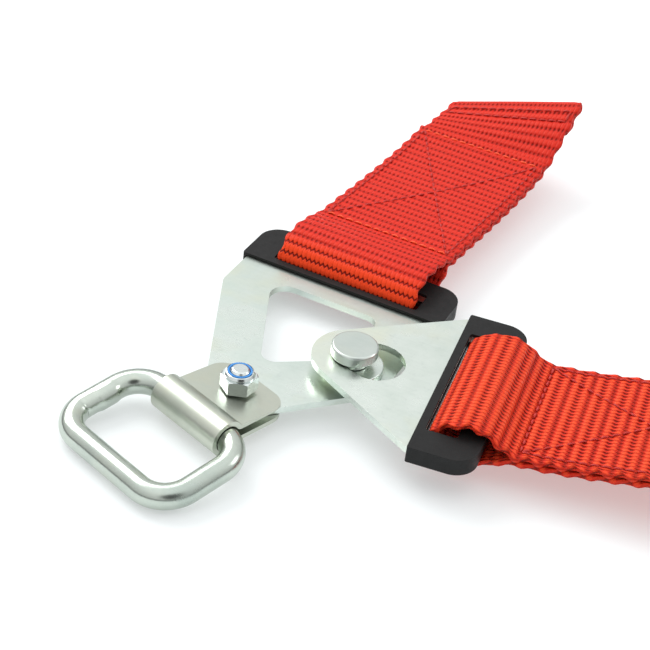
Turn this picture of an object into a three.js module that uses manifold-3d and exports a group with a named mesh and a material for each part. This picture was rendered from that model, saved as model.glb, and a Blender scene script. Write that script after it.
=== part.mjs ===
// Racing harness quick-release: two webbing straps joined by a keyhole tongue on a headed stud, with
// a swivelling ring bracket for a third strap. Millimetres, +Z up. The plates lie flat: X runs along
// the main plate's edge guard, Y points from the plate towards the main strap, and the model is moved
// at the end so that its origin is at the bottom centre of its box.
import * as THREE from 'three';
import { mergeVertices } from 'three/addons/utils/BufferGeometryUtils.js';
import Module from 'manifold-3d';

const wasm = await Module();
wasm.setup();

// ---------------------------------------------------------------- driving dimensions
const plateThick = 2.2;          // both steel plates
const fit = 0.3;                 // clearance of a piece in its hole, slot or pocket
const seat = 0.2;                // gap between two faces that rest on each other

const webWidth = 50;             // polyester harness webbing
const webThick = 2;
const layerPitch = webThick + 0.1; // two sewn layers, centre to centre

const guardOverhang = 11.1;      // guard beyond each edge of the webbing
const guardLength = webWidth + 2 * guardOverhang; // moulded edge guard over a plate's slotted end
const guardDepth = 20;
const guardThick = 5.5;
const guardTopWall = 1.2;        // guard above the plate's top face
const guardEndWall = 1.25;
const guardOuterWall = 2;
const guardCornerRadius = 7.5;
const slotStart = 2.64;          // guard mouth to the near side of the webbing slot
const slotWidth = 9.76;
const slotLength = webWidth + 2;

const guardCentreX = -22;        // main guard centre, from the stud's axis
const guardMouthY = 36.3;        // main guard mouth, from the stud's axis

const studHeadRadius = 7.3;
const studHeadThick = 3.7;
const studNeckRadius = 4.5;
const studShankRadius = 4;
const collarRadius = 9.55;
const collarThick = 2.8;
const tongueGap = 0.5;           // tongue to the collar below it and to the head above it

const tongueAngle = 7.8;         // tongue axis, degrees from +X
const tongueReach = 27.5;        // stud axis to the tongue guard's mouth when locked
const tongueTipRadius = 13.5;
const releaseTravel = 6.93;      // narrow end of the keyhole to the middle of its round end
const keyholeRadius = 9.4;

const boltX = -23.9;             // bracket bolt, from the stud's axis
const boltY = -28.9;
const boltRadius = 3;            // M6
const boltTipAboveNut = 0.7;
const nutPerBolt = 10 / 3;       // across flats over bolt radius, 10 mm on M6
const nutAcrossFlats = boltRadius * nutPerBolt;
const nutTurn = -7;              // degrees, as it was left when tightened
const insertRadius = boltRadius + 0.75;
const nutHexHeight = 4.6;
const nutHeight = 6;

const bracketAngle = -19.5;      // knuckle axis, degrees from +X
const bracketWidth = 27.9;
const bracketThick = 1.5;
const bracketLeaf = 8.1;         // bolt axis to the leaf's end
const knuckleReach = 16.35;      // bolt axis to the knuckle's axis
const knuckleFillet = 1.6;       // mid-line radius where leaf and knuckle meet
const leafCornerRadius = 6.5;

const ringBar = 8;               // welded ring, wire diameter
const ringHalfLength = 23.6;     // centre of the ring to the centre-line of a side leg
const ringDepth = 31.4;          // knuckle leg to outer leg, centre-lines
const ringCornerRadius = 9.8;
const ringOffset = -1.5;         // the ring sits this far along its knuckle
const ringDroop = 6.2;           // degrees below level at rest

const tabThick = 3;              // bolt-in anchor tab at the tongue strap's far end
const tabBar = 8;
const tabSlot = 8;
const tabOverhang = 6;           // anchor tab beyond each edge of the webbing
const tabWidth = webWidth + 2 * tabOverhang;
const tabLugRadius = 14;
const tabHoleRadius = 5.6;       // 7/16 inch harness bolt
const tabLength = 34;            // bar centre to bolt hole
const tabDroop = 6.6;            // degrees below level at rest, its lug on the floor

// ---------------------------------------------------------------- sizes that follow
const collarTop = seat + collarThick;
const tongueBottom = collarTop + tongueGap;
const tongueTop = tongueBottom + plateThick;
const headBottom = tongueTop + tongueGap;
const guardBottom = guardTopWall - guardThick;
const barCentre = (slotStart + slotWidth + guardDepth) / 2;   // outer bar of the guard, from the mouth
const barHeight = guardTopWall - guardThick / 2;
const plateEndHalf = guardLength / 2 - guardEndWall - fit;
const plateEndDepth = guardDepth - guardOuterWall - fit;
const plateEndCorner = guardCornerRadius - 1.8;
const leafTop = seat + bracketThick;
const leafBottom = -plateThick - seat - bracketThick;
const knuckleHeight = -plateThick / 2;
const knuckleInner = ringBar / 2 + fit;
const washerRadius = boltRadius + 3.2;
const washerThick = 1;
const nutBottom = leafTop + seat;

const rad = THREE.MathUtils.degToRad;

// ---------------------------------------------------------------- materials
const steel = new THREE.MeshStandardMaterial({ color: 0xd3dad4, metalness: 0.9, roughness: 0.35 });
const brightSteel = new THREE.MeshStandardMaterial({ color: 0xdadfd8, metalness: 1, roughness: 0.15 });
const satinSteel = new THREE.MeshStandardMaterial({ color: 0xcbccb6, metalness: 0.9, roughness: 0.4 });
const nylon = new THREE.MeshStandardMaterial({ color: 0x1d6fc0, metalness: 0, roughness: 0.4 });
const guardPlastic = new THREE.MeshStandardMaterial({ color: 0x2b2b2c, metalness: 0, roughness: 0.55 });
const webbing = new THREE.MeshStandardMaterial({ color: 0xd8301f, metalness: 0, roughness: 0.8 });
const thread = new THREE.MeshStandardMaterial({ color: 0xe2382a, metalness: 0, roughness: 0.7 });

// ---------------------------------------------------------------- solids
function toSolid(geometry) {
  const bare = geometry.clone();
  bare.deleteAttribute('normal');
  bare.deleteAttribute('uv');
  const merged = mergeVertices(bare, 1e-4);
  return new wasm.Manifold(new wasm.Mesh({
    numProp: 3,
    vertProperties: new Float32Array(merged.attributes.position.array),
    triVerts: new Uint32Array(merged.index.array),
  }));
}

function toGeometry(solid) {
  const mesh = solid.getMesh();
  const geometry = new THREE.BufferGeometry();
  geometry.setAttribute('position', new THREE.BufferAttribute(new Float32Array(mesh.vertProperties), 3));
  geometry.setIndex(new THREE.BufferAttribute(new Uint32Array(mesh.triVerts), 1));
  return geometry;
}

function extrude(shape, bottom, top, segments = 8) {
  const geometry = new THREE.ExtrudeGeometry(shape, {
    depth: top - bottom, bevelEnabled: false, curveSegments: segments,
  });
  return geometry.translate(0, 0, bottom);
}

// The outline of a belt stretched round circles, given counter-clockwise as [x, y, radius].
function belt(circles, Kind = THREE.Shape) {
  const normals = circles.map(([x, y, r], i) => {
    const [nx, ny, nr] = circles[(i + 1) % circles.length];
    const distance = Math.hypot(nx - x, ny - y);
    return Math.atan2(ny - y, nx - x) - Math.acos((r - nr) / distance);
  });
  const outline = new Kind();
  circles.forEach(([x, y, r], i) => {
    const from = normals[(i + circles.length - 1) % circles.length];
    outline.absarc(x, y, r, from, normals[i], false);
  });
  outline.closePath();
  return outline;
}

function circleHole(x, y, radius) {
  const hole = new THREE.Path();
  hole.absarc(x, y, radius, 0, 2 * Math.PI, false);
  return hole;
}

function roundedBox(x0, y0, x1, y1, radius, Kind = THREE.Shape) {
  return belt([
    [x0 + radius, y0 + radius, radius],
    [x1 - radius, y0 + radius, radius],
    [x1 - radius, y1 - radius, radius],
    [x0 + radius, y1 - radius, radius],
  ], Kind);
}

// A turned piece from [radius, height] pairs that start and end on the axis.
function turned(profile, segments = 40) {
  const points = profile.map(([radius, height]) => new THREE.Vector2(radius, height));
  return new THREE.LatheGeometry(points, segments).rotateX(Math.PI / 2);
}

// A flat ring as a closed turned profile.
function washer(inner, outer, bottom, top) {
  return turned([[inner, bottom], [outer, bottom], [outer, top], [inner, top], [inner, bottom]]);
}

// A rectangular strip through stations of { centre, side, up }, closed at both ends.
function strip(stations, width, thick) {
  const corners = [[-1, -1], [1, -1], [1, 1], [-1, 1]];
  const positions = [];
  for (const { centre, side, up } of stations) {
    for (const [s, u] of corners) {
      const point = centre.clone().addScaledVector(side, s * width / 2).addScaledVector(up, u * thick / 2);
      positions.push(point.x, point.y, point.z);
    }
  }
  const index = [];
  const quad = (a, b, c, d) => index.push(a, b, c, a, c, d);
  for (let i = 0; i + 1 < stations.length; i++) {
    for (let k = 0; k < 4; k++) {
      const n = (k + 1) % 4;
      quad(4 * i + k, 4 * i + n, 4 * (i + 1) + n, 4 * (i + 1) + k);
    }
  }
  const last = 4 * (stations.length - 1);
  quad(3, 2, 1, 0);
  quad(last, last + 1, last + 2, last + 3);
  const geometry = new THREE.BufferGeometry();
  geometry.setAttribute('position', new THREE.Float32BufferAttribute(positions, 3));
  geometry.setIndex(index);
  return geometry;
}

// A piece turned inside out by its stations' direction is turned back.
function outward(geometry) {
  const position = geometry.attributes.position;
  const index = geometry.index.array;
  const [a, b, c] = [new THREE.Vector3(), new THREE.Vector3(), new THREE.Vector3()];
  let volume = 0;
  for (let i = 0; i < index.length; i += 3) {
    a.fromBufferAttribute(position, index[i]);
    b.fromBufferAttribute(position, index[i + 1]);
    c.fromBufferAttribute(position, index[i + 2]);
    volume += a.dot(b.cross(c));
  }
  if (volume < 0) {
    for (let i = 0; i < index.length; i += 3) {
      [index[i], index[i + 1]] = [index[i + 1], index[i]];
    }
  }
  return geometry;
}

// ---------------------------------------------------------------- plates and guards
const webbingSlot = () => roundedBox(
  -slotLength / 2 - fit, slotStart - fit, slotLength / 2 + fit, slotStart + slotWidth + fit, 1, THREE.Path);

function mainPlate() {
  const endX = plateEndHalf - plateEndCorner;
  const endY = guardMouthY + plateEndDepth - plateEndCorner;
  const shoulder = 6;
  const outline = belt([
    [boltX, boltY, 10.2],
    [guardCentreX + plateEndHalf - 12, 0, 12],
    [guardCentreX + endX, endY, plateEndCorner],
    [guardCentreX - endX, endY, plateEndCorner],
    [guardCentreX - plateEndHalf + shoulder, guardMouthY - 14.8, shoulder],
  ]);
  const windowTop = guardMouthY - 7.3;
  const window = belt([
    [boltX + 0.3, boltY + 22.8, 4.2],
    [-collarRadius - 5.7, 0.2, 4.2],
    [-collarRadius + 1.1, windowTop - 4.5, 4.5],
    [-collarRadius - 25.1, windowTop - 5.7, 5.7],
  ], THREE.Path);
  const slot = new THREE.Path(webbingSlot().getPoints(3).map(
    (p) => new THREE.Vector2(p.x + guardCentreX, p.y + guardMouthY)));
  outline.holes.push(
    window, slot, circleHole(boltX, boltY, boltRadius + fit), circleHole(0, 0, studShankRadius + fit));
  return extrude(outline, -plateThick, 0);
}

// The tongue and its guard are drawn with the guard's mouth on Y = 0 and the strap towards +Y.
function tonguePlate() {
  const endX = plateEndHalf - plateEndCorner;
  const endY = plateEndDepth - plateEndCorner;
  const outline = belt([
    [0, -tongueReach + 0.5, tongueTipRadius],
    [plateEndHalf - 1, -0.5, 1],
    [endX, endY, plateEndCorner],
    [-endX, endY, plateEndCorner],
    [-plateEndHalf + 1, -0.5, 1],
  ]);
  const keyhole = belt([
    [0, -tongueReach, studNeckRadius + fit],
    [0, -tongueReach + releaseTravel, keyholeRadius],
  ], THREE.Path);
  outline.holes.push(keyhole, webbingSlot());
  return extrude(outline, -plateThick, 0);
}

// A guard on a plate whose top face is at Z = 0.
function edgeGuard() {
  const mouthCorner = 0.6;
  const outline = belt([
    [-guardLength / 2 + mouthCorner, mouthCorner, mouthCorner],
    [guardLength / 2 - mouthCorner, mouthCorner, mouthCorner],
    [guardLength / 2 - guardCornerRadius, guardDepth - guardCornerRadius, guardCornerRadius],
    [-guardLength / 2 + guardCornerRadius, guardDepth - guardCornerRadius, guardCornerRadius],
  ]);
  outline.holes.push(roundedBox(
    -slotLength / 2, slotStart, slotLength / 2, slotStart + slotWidth, 1, THREE.Path));
  const half = plateEndHalf + fit;
  const corner = plateEndCorner + fit;
  const pocket = belt([
    [-half + 0.1, -5, 0.1],
    [half - 0.1, -5, 0.1],
    [half - corner, plateEndDepth + fit - corner, corner],
    [-half + corner, plateEndDepth + fit - corner, corner],
  ]);
  const shell = toSolid(extrude(outline, guardBottom, guardTopWall));
  const hollow = toSolid(extrude(pocket, -plateThick - seat, seat));
  return toGeometry(shell.subtract(hollow));
}

// ---------------------------------------------------------------- stud and bolt
function lockingStud() {
  const tailRadius = studShankRadius + 2.2;
  const tailTop = -plateThick - seat - 1 - seat;
  return turned([
    [0, tailTop - 1.5], [tailRadius - 1.4, tailTop - 1.5], [tailRadius, tailTop - 0.5], [tailRadius, tailTop],
    [studShankRadius, tailTop], [studShankRadius, collarTop + seat],
    [studNeckRadius, collarTop + seat], [studNeckRadius, headBottom],
    [studHeadRadius - 0.3, headBottom], [studHeadRadius, headBottom + 0.3],
    [studHeadRadius, headBottom + studHeadThick - 0.5],
    [studHeadRadius - 0.5, headBottom + studHeadThick],
    [0.7, headBottom + studHeadThick], [0, headBottom + studHeadThick - 0.3],
  ], 48);
}

function bracketBolt() {
  const headTop = leafBottom - seat - washerThick - seat;
  const tip = nutBottom + nutHeight + boltTipAboveNut;
  return turned([
    [0, headTop - 2], [boltRadius + 0.6, headTop - 2], [boltRadius + 2.2, headTop - 1], [boltRadius + 2.4, headTop],
    [boltRadius, headTop], [boltRadius, tip - 0.7], [boltRadius - 0.7, tip], [0, tip],
  ]);
}

function lockNut() {
  const cornerRadius = nutAcrossFlats / Math.sqrt(3);
  const boreRadius = boltRadius + fit;
  const hex = new THREE.CylinderGeometry(cornerRadius, cornerRadius, nutHexHeight, 6)
    .rotateX(Math.PI / 2).rotateZ(rad(nutTurn)).translate(0, 0, nutHexHeight / 2);
  const collar = nutAcrossFlats / 2 - 0.3;
  const chamfered = toSolid(hex).intersect(toSolid(turned([
    [0, -1], [cornerRadius + 1, -1], [cornerRadius + 1, nutHexHeight - 1.2],
    [nutAcrossFlats / 2 - 0.1, nutHexHeight + 0.2], [0, nutHexHeight + 0.2],
  ], 48)));
  const top = toSolid(turned([
    [0, nutHexHeight - 1], [collar, nutHexHeight - 1], [collar, nutHeight - 0.9],
    [collar - 0.5, nutHeight - 0.2], [collar - 1, nutHeight], [0, nutHeight],
  ], 48));
  const bore = toSolid(turned([
    [0, -1], [boreRadius, -1], [boreRadius, nutHexHeight - 0.6],
    [insertRadius + seat, nutHexHeight - 0.6], [insertRadius + seat, nutHeight + 1], [0, nutHeight + 1],
  ]));
  return toGeometry(chamfered.add(top).subtract(bore));
}

// ---------------------------------------------------------------- ring bracket and ring
// The bracket's side view, drawn with the bolt on X = 0 and the knuckle at -X, then widened.
function ringBracket() {
  const mid = knuckleInner + bracketThick / 2;
  const half = bracketThick / 2;
  const leafMid = leafTop - half - knuckleHeight;
  const rise = leafMid + knuckleFillet;
  const reach = mid + knuckleFillet;
  const run = Math.sqrt(reach * reach - rise * rise);
  const open = Math.asin(rise / reach);
  const filletX = -knuckleReach + run;
  const upper = knuckleHeight + rise;
  const lower = knuckleHeight - rise;
  const side = new THREE.Shape();
  side.moveTo(bracketLeaf, leafTop);
  side.absarc(filletX, upper, knuckleFillet - half, -Math.PI / 2, -Math.PI + open, true);
  side.absarc(-knuckleReach, knuckleHeight, mid + half, open, 2 * Math.PI - open, false);
  side.absarc(filletX, lower, knuckleFillet - half, Math.PI - open, Math.PI / 2, true);
  side.lineTo(bracketLeaf, leafBottom);
  side.lineTo(bracketLeaf, leafBottom + bracketThick);
  side.absarc(filletX, lower, knuckleFillet + half, Math.PI / 2, Math.PI - open, false);
  side.absarc(-knuckleReach, knuckleHeight, mid - half, 2 * Math.PI - open, open, true);
  side.absarc(filletX, upper, knuckleFillet + half, -Math.PI + open, -Math.PI / 2, false);
  side.lineTo(bracketLeaf, leafTop - bracketThick);
  side.closePath();
  const width = new THREE.ExtrudeGeometry(side, { depth: bracketWidth, bevelEnabled: false, curveSegments: 14 })
    .rotateX(Math.PI / 2).translate(0, bracketWidth / 2, 0).rotateZ(Math.PI / 2);
  const w = bracketWidth / 2;
  const back = -knuckleReach - mid - bracketThick;
  const plan = belt([
    [-w - 1 + 0.5, back, 0.5], [w + 1 - 0.5, back, 0.5],
    [w - leafCornerRadius, bracketLeaf - leafCornerRadius, leafCornerRadius],
    [-w + leafCornerRadius, bracketLeaf - leafCornerRadius, leafCornerRadius],
  ]);
  plan.holes.push(circleHole(0, 0, boltRadius + fit));
  return toGeometry(toSolid(width).intersect(toSolid(extrude(plan, -20, 20))));
}

// A round bar bent into a closed rounded rectangle in the XY plane, knuckle leg on Y = 0.
function webbingRing() {
  const r = ringCornerRadius;
  const corners = [
    [ringHalfLength - r, -r, 0], [ringHalfLength - r, -ringDepth + r, 1],
    [-ringHalfLength + r, -ringDepth + r, 2], [-ringHalfLength + r, -r, 3],
  ];
  const points = [];
  for (const [x, y, turn] of corners) {
    const start = Math.PI / 2 - turn * Math.PI / 2;
    for (let k = 0; k <= 8; k++) {
      const angle = start - k / 8 * Math.PI / 2;
      points.push({ x: x + r * Math.cos(angle), y: y + r * Math.sin(angle), angle });
    }
  }
  const sides = 20;
  const positions = [];
  for (const { x, y, angle } of points) {
    for (let k = 0; k < sides; k++) {
      const turn = k / sides * 2 * Math.PI;
      const out = ringBar / 2 * Math.cos(turn);
      positions.push(x + out * Math.cos(angle), y + out * Math.sin(angle), ringBar / 2 * Math.sin(turn));
    }
  }
  const index = [];
  for (let i = 0; i < points.length; i++) {
    for (let k = 0; k < sides; k++) {
      const next = (i + 1) % points.length;
      const a = i * sides + k;
      const b = i * sides + (k + 1) % sides;
      const c = next * sides + (k + 1) % sides;
      const d = next * sides + k;
      index.push(a, b, c, a, c, d);
    }
  }
  const geometry = new THREE.BufferGeometry();
  geometry.setAttribute('position', new THREE.Float32BufferAttribute(positions, 3));
  geometry.setIndex(index);
  return outward(geometry);
}

// ---------------------------------------------------------------- webbing
// A strap's route is drawn from the side as [distance from the guard's mouth, height over the plate].
// It starts at the sewn tail, passes over the guard's outer bar, down through the slot, back under
// the bar and on along the strap.
const sewnStart = 29;
const boxStitch = { from: 30.5, to: 100, half: webWidth / 2 - 2.8 };
const tailEnd = 102.5;

const mainRoute = {
  under: [[sewnStart, 3.9], [34, 3.6], [42, 3.6], [50, 3.4], [66, 3.4], [81, 3.8], [97, 5.2], [106, 7.4], [113, 10.2],
    [120, 12.9], [127, 15.5]],
  loop: [[24.5, 7.1], [17, 8.2], [11.5, 7.7], [7, 5.5], [4.6, 2], [4.3, -1.8], [6.1, -5], [10.8, -7.1],
    [16.2, -7.5], [20.8, -5.6], [24, -1.7], [26.4, 1.8]],
  sway: (y) => 0.08 * Math.max(0, y - 10),
  yaw: (y) => rad(8.9) * THREE.MathUtils.smoothstep(y, 98, 130),
  roll: (y) => rad(15) * THREE.MathUtils.smoothstep(y, 98, 130),
};

const tongueRoute = {
  under: [[sewnStart, -4], [38, -3.5], [47, -2.5], [60, -0.6], [72, 1.1], [85, 1.9], [97, 1.3], [108, -0.4], [125, -3],
    [140, -4.7], [152, -4.9], [160, -3.6]],
  loop: [[25.5, -0.1], [22, 2.4], [18.5, 4.25], [15, 4.7], [10.2, 3.7], [6.2, 1.3], [4.3, -1.8],
    [6.1, -5], [10.8, -7.1], [16.2, -7.55], [21, -6.7], [25, -5.2]],
  sway: (y) => -0.05 * Math.max(0, y - 10),
  yaw: () => 0,
  roll: () => 0,
};

const endLoop = { y: 168, z: -7, radius: tabBar / 2 + 1.6, tail: 130 };

function spline(points) {
  return new THREE.CatmullRomCurve3(points.map(([y, z]) => new THREE.Vector3(0, y, z)), false, 'centripetal');
}

// The height of the lower layer's mid-line at a distance from the mouth.
function heightAt(route, y) {
  const points = route.under;
  let i = 0;
  while (i < points.length - 2 && points[i + 1][0] < y) i++;
  const [[y0, z0], [y1, z1]] = [points[i], points[i + 1]];
  const before = points[Math.max(i - 1, 0)];
  const after = points[Math.min(i + 2, points.length - 1)];
  const t = (y - y0) / (y1 - y0);
  const m0 = (z1 - before[1]) / (y1 - before[0]) * (y1 - y0);
  const m1 = (after[1] - z0) / (after[0] - y0) * (y1 - y0);
  return (2 * t ** 3 - 3 * t ** 2 + 1) * z0 + (t ** 3 - 2 * t ** 2 + t) * m0
    + (3 * t ** 2 - 2 * t ** 3) * z1 + (t ** 3 - t ** 2) * m1;
}

function range(from, to, step) {
  const count = Math.max(1, Math.round(Math.abs(to - from) / step));
  return Array.from({ length: count + 1 }, (_, i) => from + (to - from) * i / count);
}

// Stations along a side-view route: the sway, yaw and roll carry it sideways and turn it.
function stationsOf(route, points) {
  return points.map(([y, z], i) => {
    const [ay, az] = points[Math.max(i - 1, 0)];
    const [by, bz] = points[Math.min(i + 1, points.length - 1)];
    const along = new THREE.Vector3(route.sway(by) - route.sway(ay), by - ay, bz - az).normalize();
    const side = new THREE.Vector3(1, 0, 0)
      .applyAxisAngle(new THREE.Vector3(0, 1, 0), -route.roll(y))
      .applyAxisAngle(new THREE.Vector3(0, 0, 1), route.yaw(y));
    const up = new THREE.Vector3().crossVectors(side, along).normalize();
    return { centre: new THREE.Vector3(route.sway(y), y, z), side, up };
  });
}

function sewnRoute(route, last) {
  const upper = range(tailEnd, sewnStart, 3).map((y) => [y, heightAt(route, y) + layerPitch]);
  const first = [route.under[0][0], heightAt(route, route.under[0][0])];
  const loop = spline([[upper.at(-1)[0], upper.at(-1)[1]], ...route.loop, first])
    .getSpacedPoints(44).slice(1, -1).map((p) => [p.y, p.z]);
  const lower = range(first[0], last, 3).map((y) => [y, heightAt(route, y)]);
  return [...upper, ...loop, ...lower];
}

// The main strap ends in a stop: the tail turned under and sewn.
const hem = { fold: 127, back: 117 };
function mainStrap() {
  const route = sewnRoute(mainRoute, hem.fold);
  const r = layerPitch / 2;
  const [y, z] = [hem.fold, heightAt(mainRoute, hem.fold)];
  const slope = Math.atan2(z - heightAt(mainRoute, hem.fold - 2), 2);
  const turn = range(Math.PI / 2, -Math.PI / 2, Math.PI / 6).slice(1).map((a) => {
    const angle = a + slope;
    return [y + r * Math.sin(slope) + r * Math.cos(angle), z - r * Math.cos(slope) + r * Math.sin(angle)];
  });
  const back = range(hem.fold - 3, hem.back, 4).map((d) => {
    const s = Math.atan2(heightAt(mainRoute, d) - heightAt(mainRoute, d - 2), 2);
    return [d + layerPitch * Math.sin(s), heightAt(mainRoute, d) - layerPitch * Math.cos(s)];
  });
  return outward(strip(stationsOf(mainRoute, [...route, ...turn, ...back]), webWidth, webThick));
}

// The tongue strap ends in a loop round the anchor tab's bar, with its tail sewn underneath.
function tongueStrap() {
  const { y, z, radius, tail } = endLoop;
  const route = sewnRoute(tongueRoute, 152);
  const circle = [75, 45, 15, -15, -45, -75].map(
    (a) => [y + radius * Math.cos(rad(a)), z + radius * Math.sin(rad(a))]);
  const tailPoints = [[160, z - radius + 1.9], [153, heightAt(tongueRoute, 152) - layerPitch]];
  const turn = spline([route.at(-1), [160, -3.2], ...circle, ...tailPoints])
    .getSpacedPoints(22).slice(1).map((p) => [p.y, p.z]);
  const back = range(147, tail, 5).map((d) => [d, heightAt(tongueRoute, d) - layerPitch]);
  return outward(strip(stationsOf(tongueRoute, [...route, ...turn, ...back]), webWidth, webThick));
}

// The station of a strap's layer at one distance from the mouth.
function stationAt(route, y, lift) {
  const points = [y - 1, y, y + 1].map((d) => [d, heightAt(route, d) + lift]);
  return stationsOf(route, points)[1];
}

// Lines of thread lying on a strap's top face, joined into one piece.
function stitching(route, lines, lift) {
  const threadThick = 0.5;
  const rise = webThick / 2 + seat + threadThick / 2;
  let joined = null;
  for (const [x0, y0, x1, y1] of lines) {
    const centres = range(0, 1, 1 / 24).map((t) => {
      const here = stationAt(route, y0 + (y1 - y0) * t, lift);
      const x = x0 + (x1 - x0) * t;
      return { up: here.up, centre: here.centre.addScaledVector(here.side, x).addScaledVector(here.up, rise) };
    });
    const stations = centres.map(({ centre, up }, i) => {
      const along = new THREE.Vector3().subVectors(
        centres[Math.min(i + 1, centres.length - 1)].centre, centres[Math.max(i - 1, 0)].centre).normalize();
      return { centre, up, side: new THREE.Vector3().crossVectors(along, up).normalize() };
    });
    const bar = toSolid(outward(strip(stations, 0.9, threadThick)));
    joined = joined ? joined.add(bar) : bar;
  }
  return toGeometry(joined);
}

function boxAndCross(from, to, half) {
  const over = 0.4;
  return [
    [-half - over, from, half + over, from], [-half - over, to, half + over, to],
    [-half, from - over, -half, to + over], [half, from - over, half, to + over],
    [-half, from, half, to], [half, from, -half, to],
  ];
}

// ---------------------------------------------------------------- anchor tab
// Drawn with the strap bar's centre at the origin and the bolt hole towards +Y.
function anchorTab() {
  const half = tabWidth / 2;
  const slotHalf = webWidth / 2 + 1;
  const outline = belt([
    [-half + 4, -tabBar / 2 + 3.5, 3.5], [half - 4, -tabBar / 2 + 3.5, 3.5], [half - 5, tabBar / 2 + tabSlot, 4],
    [0, tabLength, tabLugRadius], [-half + 5, tabBar / 2 + tabSlot, 4],
  ]);
  outline.holes.push(
    roundedBox(-slotHalf, tabBar / 2, slotHalf, tabBar / 2 + tabSlot, 1, THREE.Path),
    circleHole(0, tabLength, tabHoleRadius));
  return extrude(outline, -tabThick / 2, tabThick / 2);
}

// ---------------------------------------------------------------- assembly
function add(group, name, geometry, material, x = 0, y = 0, z = 0) {
  const mesh = new THREE.Mesh(geometry, material);
  mesh.name = name;
  mesh.position.set(x, y, z);
  group.add(mesh);
  return mesh;
}

const harness = new THREE.Group();
const guard = edgeGuard();

add(harness, 'main_plate', mainPlate(), steel);
add(harness, 'main_edge_guard', guard, guardPlastic, guardCentreX, guardMouthY, 0);
add(harness, 'locking_stud', lockingStud(), brightSteel);
add(harness, 'stud_washer', washer(
  studShankRadius + fit, studShankRadius + 3.5, -plateThick - seat - 1, -plateThick - seat), steel);
add(harness, 'stud_collar', washer(studShankRadius + fit, collarRadius, seat, collarTop), steel);

const bracket = new THREE.Group();
bracket.position.set(boltX, boltY, 0);
bracket.rotation.z = rad(bracketAngle);
harness.add(bracket);
add(bracket, 'ring_bracket', ringBracket(), satinSteel);
add(harness, 'bracket_bolt', bracketBolt(), brightSteel, boltX, boltY, 0);
add(harness, 'bracket_washer', washer(
  boltRadius + fit, washerRadius, leafBottom - seat - washerThick, leafBottom - seat), steel, boltX, boltY, 0);
add(harness, 'lock_nut', lockNut(), brightSteel, boltX, boltY, nutBottom);
add(harness, 'nylon_insert', washer(
  boltRadius + 0.15, insertRadius, nutHexHeight - 0.4, nutHeight + 0.1), nylon, boltX, boltY, nutBottom);
const ring = add(bracket, 'webbing_ring', webbingRing(), brightSteel, ringOffset, -knuckleReach, knuckleHeight);
ring.rotation.x = rad(ringDroop);

const tongue = new THREE.Group();
const tongueDirection = rad(tongueAngle);
tongue.position.set(
  tongueReach * Math.cos(tongueDirection), tongueReach * Math.sin(tongueDirection), tongueTop);
tongue.rotation.z = tongueDirection - Math.PI / 2;
harness.add(tongue);
add(tongue, 'tongue_plate', tonguePlate(), steel);
add(tongue, 'tongue_edge_guard', guard.clone(), guardPlastic);
add(tongue, 'tongue_strap', tongueStrap(), webbing);
add(tongue, 'tongue_box_stitch', stitching(
  tongueRoute, boxAndCross(boxStitch.from, boxStitch.to, boxStitch.half), layerPitch), thread);
add(tongue, 'tongue_end_stitch', stitching(
  tongueRoute, boxAndCross(133, 149, boxStitch.half), 0), thread);
const tab = add(tongue, 'anchor_tab', anchorTab(), steel, tongueRoute.sway(endLoop.y), endLoop.y, endLoop.z);
tab.rotation.x = rad(-tabDroop);

const main = new THREE.Group();
main.position.set(guardCentreX, guardMouthY, 0);
harness.add(main);
add(main, 'main_strap', mainStrap(), webbing);
add(main, 'main_hem_stitch', stitching(
  mainRoute, boxAndCross(119.5, 123.5, boxStitch.half + 0.4).slice(0, 4), 0), thread);
add(main, 'main_box_stitch', stitching(
  mainRoute, boxAndCross(boxStitch.from, boxStitch.to, boxStitch.half), layerPitch), thread);

harness.updateMatrixWorld(true);
const box = new THREE.Box3().setFromObject(harness, true);
harness.position.set(-(box.min.x + box.max.x) / 2, -(box.min.y + box.max.y) / 2, -box.min.z);

export default harness;
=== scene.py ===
# Looks of the racing harness quick release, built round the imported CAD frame. Metres, +Z up.
import math

import bmesh
import bpy
import numpy as np
from mathutils import Matrix, Vector


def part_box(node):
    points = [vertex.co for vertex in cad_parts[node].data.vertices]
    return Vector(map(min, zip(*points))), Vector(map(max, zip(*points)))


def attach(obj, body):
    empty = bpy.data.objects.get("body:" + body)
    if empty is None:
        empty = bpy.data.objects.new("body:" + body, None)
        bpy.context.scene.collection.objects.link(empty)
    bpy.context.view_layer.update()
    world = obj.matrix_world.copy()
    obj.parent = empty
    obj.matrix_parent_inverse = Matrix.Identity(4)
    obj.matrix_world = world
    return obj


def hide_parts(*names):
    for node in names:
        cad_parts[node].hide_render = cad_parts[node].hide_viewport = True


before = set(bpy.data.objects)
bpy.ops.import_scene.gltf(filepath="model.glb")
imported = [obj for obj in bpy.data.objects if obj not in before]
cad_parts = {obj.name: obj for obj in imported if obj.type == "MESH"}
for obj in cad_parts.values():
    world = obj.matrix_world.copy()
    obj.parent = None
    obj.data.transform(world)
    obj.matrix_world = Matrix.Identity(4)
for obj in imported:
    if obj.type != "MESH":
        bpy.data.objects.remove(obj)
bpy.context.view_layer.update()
MM = 0.001

# ---------------------------------------------------------------- places, in millimetres as in the CAD
stud_low, stud_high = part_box("locking_stud")
STUD = np.array([(stud_low.x + stud_high.x) / 2, (stud_low.y + stud_high.y) / 2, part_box("main_plate")[1].z])
TONGUE_ANGLE = math.radians(7.8)
TONGUE_REACH = 27.5
TONGUE_TOP = 5.7
GUARD_MAIN = np.array([-22.0, 36.3, 0.0])
BOLT = np.array([-23.9, -28.9, 0.0])
BRACKET_ANGLE = math.radians(-19.5)
RING_PLACE = np.array([-1.5, -16.35, -1.1])
RING_DROOP = math.radians(6.2)


def turn(axis, angle):
    return np.array(Matrix.Rotation(angle, 3, axis))


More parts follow.
